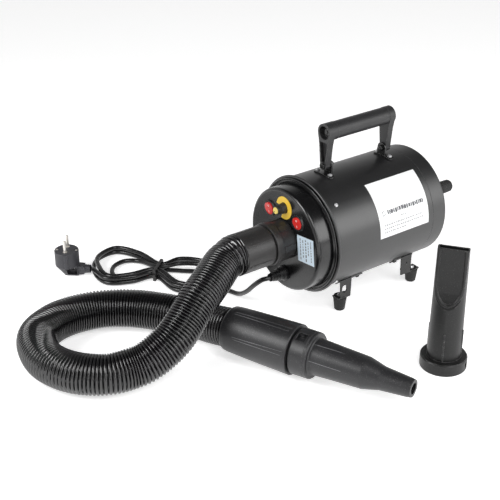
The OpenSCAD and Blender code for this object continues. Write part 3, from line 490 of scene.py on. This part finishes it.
def hose_part(name, start, end):
    """The hose from station start to end: ribbed outside, plain inside, closed at both ends."""
    sides = HOSE_SEGMENTS
    angles = circle_angles(sides)

    def hose_ring(i, radius):
        return ring(hose_line[i], hose_sides[i], hose_ups[i], radius, angles)

    outer = list(range(start, end + 1))
    inner = outer[::RIB_STEPS]
    if inner[-1] != end:
        inner.append(end)
    verts = [hose_ring(i, hose_radius(i, angles)) for i in outer]
    verts += [hose_ring(i, HOSE_WALL_RADIUS) for i in inner]
    base = len(outer) * sides
    faces = tube_faces(len(outer), sides)
    faces += [(b, a, d, c) for a, b, c, d in tube_faces(len(inner), sides, base)]
    outer_end = base - sides
    inner_end = base + (len(inner) - 1) * sides
    for j in range(sides):
        k = (j + 1) % sides
        faces.append((j, base + j, base + k, k))
        faces.append((outer_end + k, inner_end + k, inner_end + j, outer_end + j))
    return mesh_object(name, np.concatenate(verts), faces, "hose_plastic",
                       smooth=True, sharp_degrees=60)


def build_hose():
    split = int(np.argmin(np.linalg.norm(hose_line - np.array(HOSE_SPLIT), axis=1)))
    split -= split % RIB_STEPS
    run = hose_part("hose_ribbed_run", 0, split)
    end = hose_part("hose_ribbed_end", split, len(hose_line) - 1)
    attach(run, "root")
    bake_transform(end)
    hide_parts("hose")


build_hose()

# ------------------------------------------------------------------------------ cord
CORD_RADIUS = 3.55
CORD_SEGMENTS = 18
COIL_CENTRE = np.array([-191.2, -225.9])
COIL_ALONG = np.array([0.774, 0.633])
COIL_ACROSS = np.array([-0.633, 0.774])
CORD_Z = 5          # lowest layer
LAYER_RISE = 7.5
# spacing of neighbouring strands: on the loops, and at and beside the crossing
LOOP_PITCH = 7.8
CROSSING_PITCH = 8.6
CROSSING_OFFSET = 4.2    # first strand from the centre of the crossing
FAR_LOOP_CENTRE = (-62.0, 0.0)
NEAR_LOOP_CENTRE = (46.0, -3.0)
PLUG_ORIGIN = (-279.8, -332.8)
PLUG_ANGLE = math.radians(49.5)
PLUG_ENTRY = [(36, 9.5), (26, 9)]    # (distance from the plug's origin, z)
# from the barrel to the coil (x, y, z)
CORD_LEAD = [(2, -123, 59.5), (2, -140, 59.5), (2, -162, 59.5), (-3, -171, 57),
             (-15, -175, 45), (-35, -174, 25), (-58, -171, 9.5), (-80, -173, 5),
             (-98, -183, 5)]
# stations of one figure-eight turn (along, across); 2 and 9 are at the crossing
TURN = [(80, -35), (42, -40), (0, 0), (-32, -33), (-64, -45), (-89, -24), (-102, 12),
        (-84, 44), (-45, 36), (0, 0), (26, 33), (62, 33), (90, 2)]
# per turn and station: strands outward from the innermost, and layers up from the floor
LANES = [[1.5] + [1] * 10 + [0.5, 0], [0] * 13, [0] * 6 + [0.5] + [1] * 6]
LAYERS = [[0] * 13, [0] * 9 + [1] * 4, [1] * 13]
# (turn, station): (along, across), for strands that leave the regular lanes
STRAYS = {(0, 10): (31, 13), (0, 11): (62, 15), (0, 12): (84, -4),
          (1, 4): (-54, -31), (1, 5): (-68, -18), (1, 6): (-72, 4), (1, 7): (-61, 23),
          (1, 8): (-38, 27), (1, 10): (29, 22.5), (1, 11): (62, 25)}


def coil_point(along, across, z):
    x, y = COIL_CENTRE + along * COIL_ALONG + across * COIL_ACROSS
    return (x, y, z)


def turn_point(station, lane, layer):
    z = CORD_Z + LAYER_RISE * layer
    if station == 2:
        return coil_point(0, -CROSSING_OFFSET - CROSSING_PITCH * lane, z)
    if station == 9:
        return coil_point(0, CROSSING_OFFSET + CROSSING_PITCH * lane, z)
    centre = np.array(FAR_LOOP_CENTRE if 2 < station < 9 else NEAR_LOOP_CENTRE)
    outward = np.array(TURN[station], float) - centre
    outward /= np.linalg.norm(outward)
    offset = (CROSSING_PITCH if station in (1, 3, 8, 10) else LOOP_PITCH) * (lane - 0.5)
    along, across = TURN[station] + outward * offset
    return coil_point(along, across, z)


def cord_path():
    path = list(CORD_LEAD)
    for turn in range(3):
        for station in range(len(TURN)):
            layer = LAYERS[turn][station]
            if (turn, station) in STRAYS:
                path.append(coil_point(*STRAYS[turn, station], CORD_Z + LAYER_RISE * layer))
            else:
                path.append(turn_point(station, LANES[turn][station], layer))
    path += [turn_point(station, lane=1, layer=1) for station in range(5)]
    path += [coil_point(-84, -36.5, 12.8), coil_point(-94, -27, 12.2)]
    for reach, z in PLUG_ENTRY:
        path.append((PLUG_ORIGIN[0] + reach * math.cos(PLUG_ANGLE),
                     PLUG_ORIGIN[1] + reach * math.sin(PLUG_ANGLE), z))
    return path


def build_cord():
    line, lengths = catmull(cord_path(), step=2.0)
    angles = circle_angles(CORD_SEGMENTS)
    # the radius swells and shrinks slightly along the cord
    verts = [ring(centre, side, up, CORD_RADIUS + 0.04 * math.sin(length / 9.0), angles)
             for centre, side, up, length in zip(line, *cross_axes(line), lengths)]
    faces = tube_faces(len(line), CORD_SEGMENTS)
    faces += [cap[::-1] for cap in end_caps(len(line), CORD_SEGMENTS)]
    cord = mesh_object("power_cord_sheath", np.concatenate(verts), faces, "cord_rubber",
                       smooth=True)
    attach(cord, "root")
    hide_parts("power_cord")


build_cord()

# ------------------------------------------------------------------------------ mould lines
WAND_START = np.array([43.9, -260.2, 34.6])
WAND_ANGLE = math.radians(21)    # from +X towards +Y
WAND_ALONG = np.array([math.cos(WAND_ANGLE), math.sin(WAND_ANGLE), 0.0])
WAND_ACROSS = np.array([-math.sin(WAND_ANGLE), math.cos(WAND_ANGLE), 0.0])
WAND_DOWN = np.array([0.0, 0.0, -1.0])
# (distance along the wand, radius)
GRIP_PROFILE = [(0, 27.8), (0.4, 29.2), (2.5, 30.6), (8, 31.4), (34, 32.6), (58, 33.4),
                (82, 33.9), (100, 34.4), (102.6, 34.4), (103.5, 33.8)]
NOZZLE_PROFILE = [(131.6, 26), (132.6, 25), (134.5, 24.5), (166, 22.9), (203, 21.3),
                  (207, 20.4)]
# (angle at start, angle at end, start, end): degrees from straight down, then mm along
GRIP_LINES = [(190, 190, 12, 99), (197, 199.5, 13, 97), (254, 248, 22, 99),
              (259, 257, 24, 97), (74, 68, 22, 99), (79, 77, 24, 97)]
NOZZLE_LINES = [(200, 194, 133.5, 176), (255, 256, 133.5, 178), (75, 76, 133.5, 178)]
LINE_STEP = 1.5
LINE_SINK = 0.15    # how far the foot of a line is sunk in the surface


def mould_lines(name, body, lines, profile, width, height):
    """Thin raised lines along the wand, slightly uneven, fading out at both ends; their pale grey
    is partly wear, partly painted highlight.
    """
    verts = []
    faces = []
    rng = random.Random(11)
    foot = width / 2
    crest = foot * 0.55
    for angle0, angle1, start, end in lines:
        steps = int((end - start) / LINE_STEP)
        first = len(verts)
        for i in range(steps + 1):
            u = i / steps
            along = start + (end - start) * u
            angle = math.radians(angle0 + (angle1 - angle0) * u)
            radius = lookup(profile, along)
            rise = height * (min(1.0, 6 * u, 6 * (1 - u)) * (0.8 + 0.2 * rng.random()))
            for offset, lift in ((-foot, -LINE_SINK), (-crest, rise), (crest, rise),
                                 (foot, -LINE_SINK)):
                a = angle + offset / radius
                outward = math.cos(a) * WAND_DOWN + math.sin(a) * WAND_ACROSS
                verts.append(WAND_START + along * WAND_ALONG + (radius + lift) * outward)
        faces += tube_faces(steps + 1, 4, first) + end_caps(steps + 1, 4, first)
    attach(mesh_object(name, verts, faces, "seam_wear_and_highlight_grey"), body)


mould_lines("grip_mould_lines", "wand", GRIP_LINES, GRIP_PROFILE, width=0.8, height=0.3)
mould_lines("nozzle_mould_lines", "nozzle", NOZZLE_LINES, NOZZLE_PROFILE,
            width=0.7, height=0.25)

# -------------------------------------------------------- rims of the loose nozzle's scoops
LOOSE_ANGLE = math.radians(-54)
LOOSE_HEIGHT = 174.0
LOOSE_TAPER_Z = 10       # the round body narrows from here to the top
LOOSE_RADIUS = 22.8
LOOSE_TAPER = 2.4
# (z, distance of the scooped face from the nozzle's middle plane)
SCOOP_PROFILE = [(93, 22.6), (98.5, 19), (105.5, 15), (114, 12), (126, 9.8), (142, 8),
                 (158, 6.6), (174, 5.4)]
RIM_TOP_Z = LOOSE_HEIGHT - 0.4
RIM_TURN_Z = 128         # straight rim above, rounded end below
RIM_TOP_HALF_WIDTH = 15.6
RIM_SPREAD = 0.9         # gained in half width going down to the rounded end
RIM_END_DEPTH = 27.5
RIM_MAX_HALF_WIDTH = 19.6
# section of the rim (outward in the face, height above it)
RIM_SECTION = [(-1.3, -0.25), (-0.55, 0.45), (0.1, 1.15), (0.9, 1.35), (2.0, 0.95),
               (3.4, -0.2)]


def scoop_surface(y, z):
    height = LOOSE_HEIGHT - LOOSE_TAPER_Z
    radius = LOOSE_RADIUS - (z - LOOSE_TAPER_Z) / height * LOOSE_TAPER
    body = math.sqrt(max(radius * radius - y * y, 0.04))
    return body if z < SCOOP_PROFILE[0][0] else min(body, lookup(SCOOP_PROFILE, z))


def rim_path():
    """The U of the rim as (y, z) points, and their outward directions."""
    straight = [(RIM_TOP_HALF_WIDTH + RIM_SPREAD * (RIM_TOP_Z - z) / (LOOSE_HEIGHT - RIM_TURN_Z),
                 z) for z in np.linspace(RIM_TOP_Z, RIM_TURN_Z, 30)]
    half_width = RIM_TOP_HALF_WIDTH + RIM_SPREAD
    rounded = [(half_width * math.cos(a), RIM_TURN_Z - RIM_END_DEPTH * math.sin(a))
               for a in np.linspace(0.06, math.pi - 0.06, 60)]
    path = np.array(straight + rounded + [(-y, z) for y, z in straight[::-1]])
    along = np.gradient(path, axis=0)
    along /= np.linalg.norm(along, axis=1)[:, None]
    outward = np.stack([-along[:, 1], along[:, 0]], 1)
    inside = np.array([0.0, 150.0])
    outward *= np.sign(((path - inside) * outward).sum(1))[:, None]
    return path, outward


def scoop_rim(name, side):
    """Rim on the nozzle's own +X (side 1) or -X (side -1) face."""
    path, outward = rim_path()
    cos, sin = math.cos(LOOSE_ANGLE), math.sin(LOOSE_ANGLE)
    verts = []
    for (path_y, path_z), (out_y, out_z) in zip(path, outward):
        for offset, lift in RIM_SECTION:
            y = path_y + out_y * offset
            y = max(-RIM_MAX_HALF_WIDTH, min(RIM_MAX_HALF_WIDTH, y))
            z = min(path_z + out_z * offset, LOOSE_HEIGHT - 0.2)
            x = (scoop_surface(y, z) + lift) * side
            y *= side
            turned = np.array([x * cos - y * sin, x * sin + y * cos, z])
            verts.append(np.array(LOOSE_NOZZLE_BASE) + turned)
    shape = (len(path), len(RIM_SECTION))
    rim = mesh_object(name, verts, tube_faces(*shape) + end_caps(*shape),
                      "loose_nozzle_plastic", smooth=True, sharp_degrees=50)
    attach(rim, "flat_nozzle")


scoop_rim("scoop_rim_front", 1)
scoop_rim("scoop_rim_back", -1)

# ------------------------------------------------------------------------------ label print
LABEL_RADIUS = 82.5 + 0.32    # barrel and label
PANEL_LABEL = (48.3, -135.31, 113.8)
PANEL_LABEL_TILT = math.radians(6)
HEADING_BOTTOM = 22.6    # degrees round the barrel
# outline of the emblem (y0, y1, degrees0, degrees1)
EMBLEM = [(-19.0, -15.6, 22.6, 23.3), (-19.0, -15.6, 26.6, 27.3),
          (-19.0, -18.3, 23.3, 26.6), (-14.6, -13.9, 23.3, 26.6)]
# lines of small marks (degrees, start y, end y)
SMALL_LINES = [(17.6, 14, 26), (12.4, -19, 54), (8.8, -19, 58), (5.2, -19, 22)]
# upright lines on the panel label (top, bottom, width)
PANEL_LINES = [(15.5, -14, 1.5), (14.0, -13, 1.5), (15.5, -15, 2.2), (14.0, -6, 1.5),
               (15.5, -14, 1.5)]


def on_barrel(y, degrees):
    """Point and outward normal on the barrel label; degrees run up from +X."""
    a = math.radians(degrees)
    point = (LABEL_RADIUS * math.cos(a), y, BARREL_AXIS_Z + LABEL_RADIUS * math.sin(a))
    return point, (math.cos(a), 0, math.sin(a))


def on_panel(u, v):
    cos, sin = math.cos(PANEL_LABEL_TILT), math.sin(PANEL_LABEL_TILT)
    x, y, z = PANEL_LABEL
    return (x + u * cos - v * sin, y, z + u * sin + v * cos), (0, -1, 0)


def printed_bars(name, place, bars, material):
    """Raised bars (u0, u1, v0, v1); place(u, v) gives a point and its outward normal."""
    verts = []
    faces = []
    for u0, u1, v0, v1 in bars:
        n = max(1, int(abs(v1 - v0) / 3) + 1)
        m = max(1, int(abs(u1 - u0) / 3) + 1)
        first = len(verts)
        for lift in (-0.02, 0.06 - 0.02):
            for i in range(m + 1):
                for j in range(n + 1):
                    point, normal = place(u0 + (u1 - u0) * i / m, v0 + (v1 - v0) * j / n)
                    verts.append(np.array(point) + np.array(normal) * lift)

        def at(i, j, top):
            return first + top * (m + 1) * (n + 1) + i * (n + 1) + j

        for i in range(m):
            for j in range(n):
                faces.append((at(i, j, 1), at(i + 1, j, 1), at(i + 1, j + 1, 1), at(i, j + 1, 1)))
                faces.append((at(i, j + 1, 0), at(i + 1, j + 1, 0), at(i + 1, j, 0), at(i, j, 0)))
        for i in range(m):
            faces.append((at(i, 0, 0), at(i + 1, 0, 0), at(i + 1, 0, 1), at(i, 0, 1)))
            faces.append((at(i + 1, n, 0), at(i, n, 0), at(i, n, 1), at(i + 1, n, 1)))
        for j in range(n):
            faces.append((at(0, j + 1, 0), at(0, j, 0), at(0, j, 1), at(0, j + 1, 1)))
            faces.append((at(m, j, 0), at(m, j + 1, 0), at(m, j + 1, 1), at(m, j, 1)))
    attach(mesh_object(name, verts, faces, material), "root")


def heading_bars(rng):
    """The emblem and a run of blocks, some joined to a short dash."""
    bars = list(EMBLEM)
    y = -9.5
    while y < 58:
        width = rng.uniform(1.6, 4.4)
        bottom = HEADING_BOTTOM + rng.uniform(0.0, 0.9)
        bars.append((y, y + width, bottom, 27.6 - rng.uniform(0.0, 0.8)))
        if rng.random() < 0.5:
            bars.append((y + width, y + width + 0.9, 24.6, 25.4))
        y += width + rng.uniform(0.7, 1.3)
    return bars


def small_bars(rng):
    bars = []
    for degrees, y, end in SMALL_LINES:
        while y < end:
            width = rng.uniform(1.4, 4.0)
            bars.append((y, min(end, y + width), degrees, degrees + 1.3))
            y += width + rng.uniform(0.9, 1.8)
    return bars


def panel_bars(rng):
    bars = []
    for k, (v, bottom, width) in enumerate(PANEL_LINES):
        u = -11.5 + k * 5.6
        while v > bottom:
            length = rng.uniform(1.4, 4.6)
            bars.append((u, u + width, v - length, v))
            v -= length + rng.uniform(0.9, 2.2)
    return bars


print_rng = random.Random(3)
printed_bars("barrel_label_marks", on_barrel, heading_bars(print_rng), "label_ink")
printed_bars("barrel_label_small_marks", on_barrel, small_bars(print_rng), "label_ink_light")
printed_bars("panel_label_marks", on_panel, panel_bars(print_rng), "label_ink")

# ------------------------------------------------------------------------------ switch marks
ROCKER_X = 31
ROCKER_Y = -135.6
ROCKER_Z = 149.0
ROCKER_TILT = Matrix.Rotation(math.radians(8), 4, "X")
ROCKER_FACE = 2.52       # from the pivot to the face
MARK_Z = 4.6             # ring above the pivot, bar below it
MARK_LIFTS = (-0.05, 0.08)
RING_RADII = (0.9, 1.45)
RING_SEGMENTS = 32
BAR_CORNERS = [(-0.35, -1.5), (0.35, -1.5), (0.35, 1.5), (-0.35, 1.5)]
DOT_X, DOT_Z = -1.2, 158.6
DOT_RADIUS = 0.85
DOT_FACES_Y = (-151.25, -150.8)
DOT_SEGMENTS = 20


def rocker_marks(body, pivot_x):
    """A white ring and a white bar on the tilted face of one rocker."""
    pivot = Vector((pivot_x, ROCKER_Y, ROCKER_Z))

    def on_face(x, z, lift):
        return pivot + ROCKER_TILT @ Vector((x, -ROCKER_FACE - lift, z))

    inner, outer = RING_RADII
    low, high = MARK_LIFTS
    verts = []
    for i in range(RING_SEGMENTS):
        a = 2 * math.pi * i / RING_SEGMENTS
        for radius, lift in ((inner, low), (outer, low), (outer, high), (inner, high)):
            verts.append(on_face(radius * math.cos(a), MARK_Z + radius * math.sin(a), lift))
    faces = tube_faces(RING_SEGMENTS, 4, closed=True)
    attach(mesh_object(body + "_mark_off", verts, faces, "white_mark"), body)

    verts = [on_face(x, z - MARK_Z, lift) for lift in MARK_LIFTS for x, z in BAR_CORNERS]
    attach(mesh_object(body + "_mark_on", verts, prism_faces(4), "white_mark"), body)


def knob_dot():
    verts = []
    for y in DOT_FACES_Y:
        for i in range(DOT_SEGMENTS):
            a = 2 * math.pi * i / DOT_SEGMENTS
            verts.append((DOT_X + DOT_RADIUS * math.cos(a), y, DOT_Z + DOT_RADIUS * math.sin(a)))
    dot = mesh_object("knob_pointer_dot", verts, prism_faces(DOT_SEGMENTS), "knob_black")
    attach(dot, "speed_knob")


rocker_marks("rocker_left", -ROCKER_X)
rocker_marks("rocker_right", ROCKER_X)
knob_dot()


# ------------------------------------------------------------------------------ stage
def build_floor():
    bpy.ops.mesh.primitive_plane_add(size=12, location=(0, 0, -0.0002))
    floor = bpy.context.object
    floor.name = "floor"
    tree = ShaderTree("floor_pale")
    # the floor glows towards white, but not in a disc under the loose nozzle that stands on it:
    # painted shade, so the floor seen through the nozzle's windows stays dark
    geometry = tree.add("ShaderNodeNewGeometry")
    distance = tree.add("ShaderNodeVectorMath", operation="DISTANCE")
    tree.put(distance.inputs[0], geometry.outputs["Position"])
    distance.inputs[1].default_value = tuple(c * MM for c in LOOSE_NOZZLE_BASE)
    outside_painted_shade = tree.math("GREATER_THAN", distance.outputs["Value"], 0.029)
    tree.shade({
        "Base Color": (0.9, 0.9, 0.9, 1),
        "Emission Color": (1, 1, 1, 1),
        "Emission Strength": tree.math("MULTIPLY", outside_painted_shade, 0.6),
        "Roughness": tree.math("MULTIPLY_ADD", tree.noise(scale=3.0), 0.1, 0.55)})
    floor.data.materials.append(tree.material)


def build_world():
    """A pale wall all round, dark overhead; the camera itself sees plain white."""
    world = bpy.data.worlds.new("studio")
    bpy.context.scene.world = world
    world.use_nodes = True
    nodes, links = world.node_tree.nodes, world.node_tree.links
    background = nodes["Background"]
    background.inputs[0].default_value = (1, 1, 1, 1)
    light_path = nodes.new("ShaderNodeLightPath")
    direction = nodes.new("ShaderNodeTexCoord")
    split = nodes.new("ShaderNodeSeparateXYZ")
    links.new(direction.outputs["Generated"], split.inputs[0])
    fade = nodes.new("ShaderNodeMapRange")
    fade.interpolation_type = "SMOOTHSTEP"
    fade_range = {"From Min": 0.2, "From Max": 0.75, "To Min": 0.75, "To Max": 0.05}
    for key, value in fade_range.items():
        fade.inputs[key].default_value = value
    links.new(split.outputs["Z"], fade.inputs["Value"])
    strength = nodes.new("ShaderNodeMix")
    links.new(light_path.outputs["Is Camera Ray"], strength.inputs[0])
    links.new(fade.outputs["Result"], strength.inputs[2])
    strength.inputs[3].default_value = 1.0
    links.new(strength.outputs[0], background.inputs[1])


def area_light(name, location, target, power, size, size_y=None):
    light = bpy.data.lights.new(name, "AREA")
    light.energy = power
    light.size = size
    if size_y:
        light.shape = "RECTANGLE"
        light.size_y = size_y
    lamp = bpy.data.objects.new(name, light)
    bpy.context.scene.collection.objects.link(lamp)
    lamp.location = location
    aim = Vector(target) - Vector(location)
    lamp.rotation_euler = aim.to_track_quat("-Z", "Y").to_euler()


def build_camera():
    lens = bpy.data.cameras.new("camera")
    lens.sensor_width = 36
    lens.lens = 77.16
    lens.clip_start = 0.05
    camera = bpy.data.objects.new("camera", lens)
    bpy.context.scene.collection.objects.link(camera)
    forward = Vector((-0.70855, 0.53292, -0.46256))
    up = Vector((-0.36967, 0.27804, 0.88659))
    right = Vector((0.60109, 0.79918, 0.0))
    place = Matrix.Translation(Vector((1.04212, -0.97792, 0.79359)))
    camera.matrix_world = place @ Matrix((right, up, -forward)).transposed().to_4x4()
    bpy.context.scene.camera = camera


build_floor()
build_world()
area_light("softbox_right", location=(1.367, 0.957, 0.76), target=(0, 0, 0.12),
           power=10.5, size=0.9, size_y=1.1)
area_light("softbox_front", location=(-0.24, -1.45, 1.02), target=(0.1, -0.24, 0.05),
           power=14, size=0.7, size_y=0.7)
area_light("fill", location=(1.2, -0.35, 1.5), target=(0, -0.1, 0.1), power=12, size=0.8)
area_light("strip_side", location=(1.55, -0.1, 0.62), target=(0.05, -0.12, 0.12),
           power=5.5, size=0.24, size_y=1.2)
build_camera()
bpy.context.scene.view_settings.view_transform = "Standard"
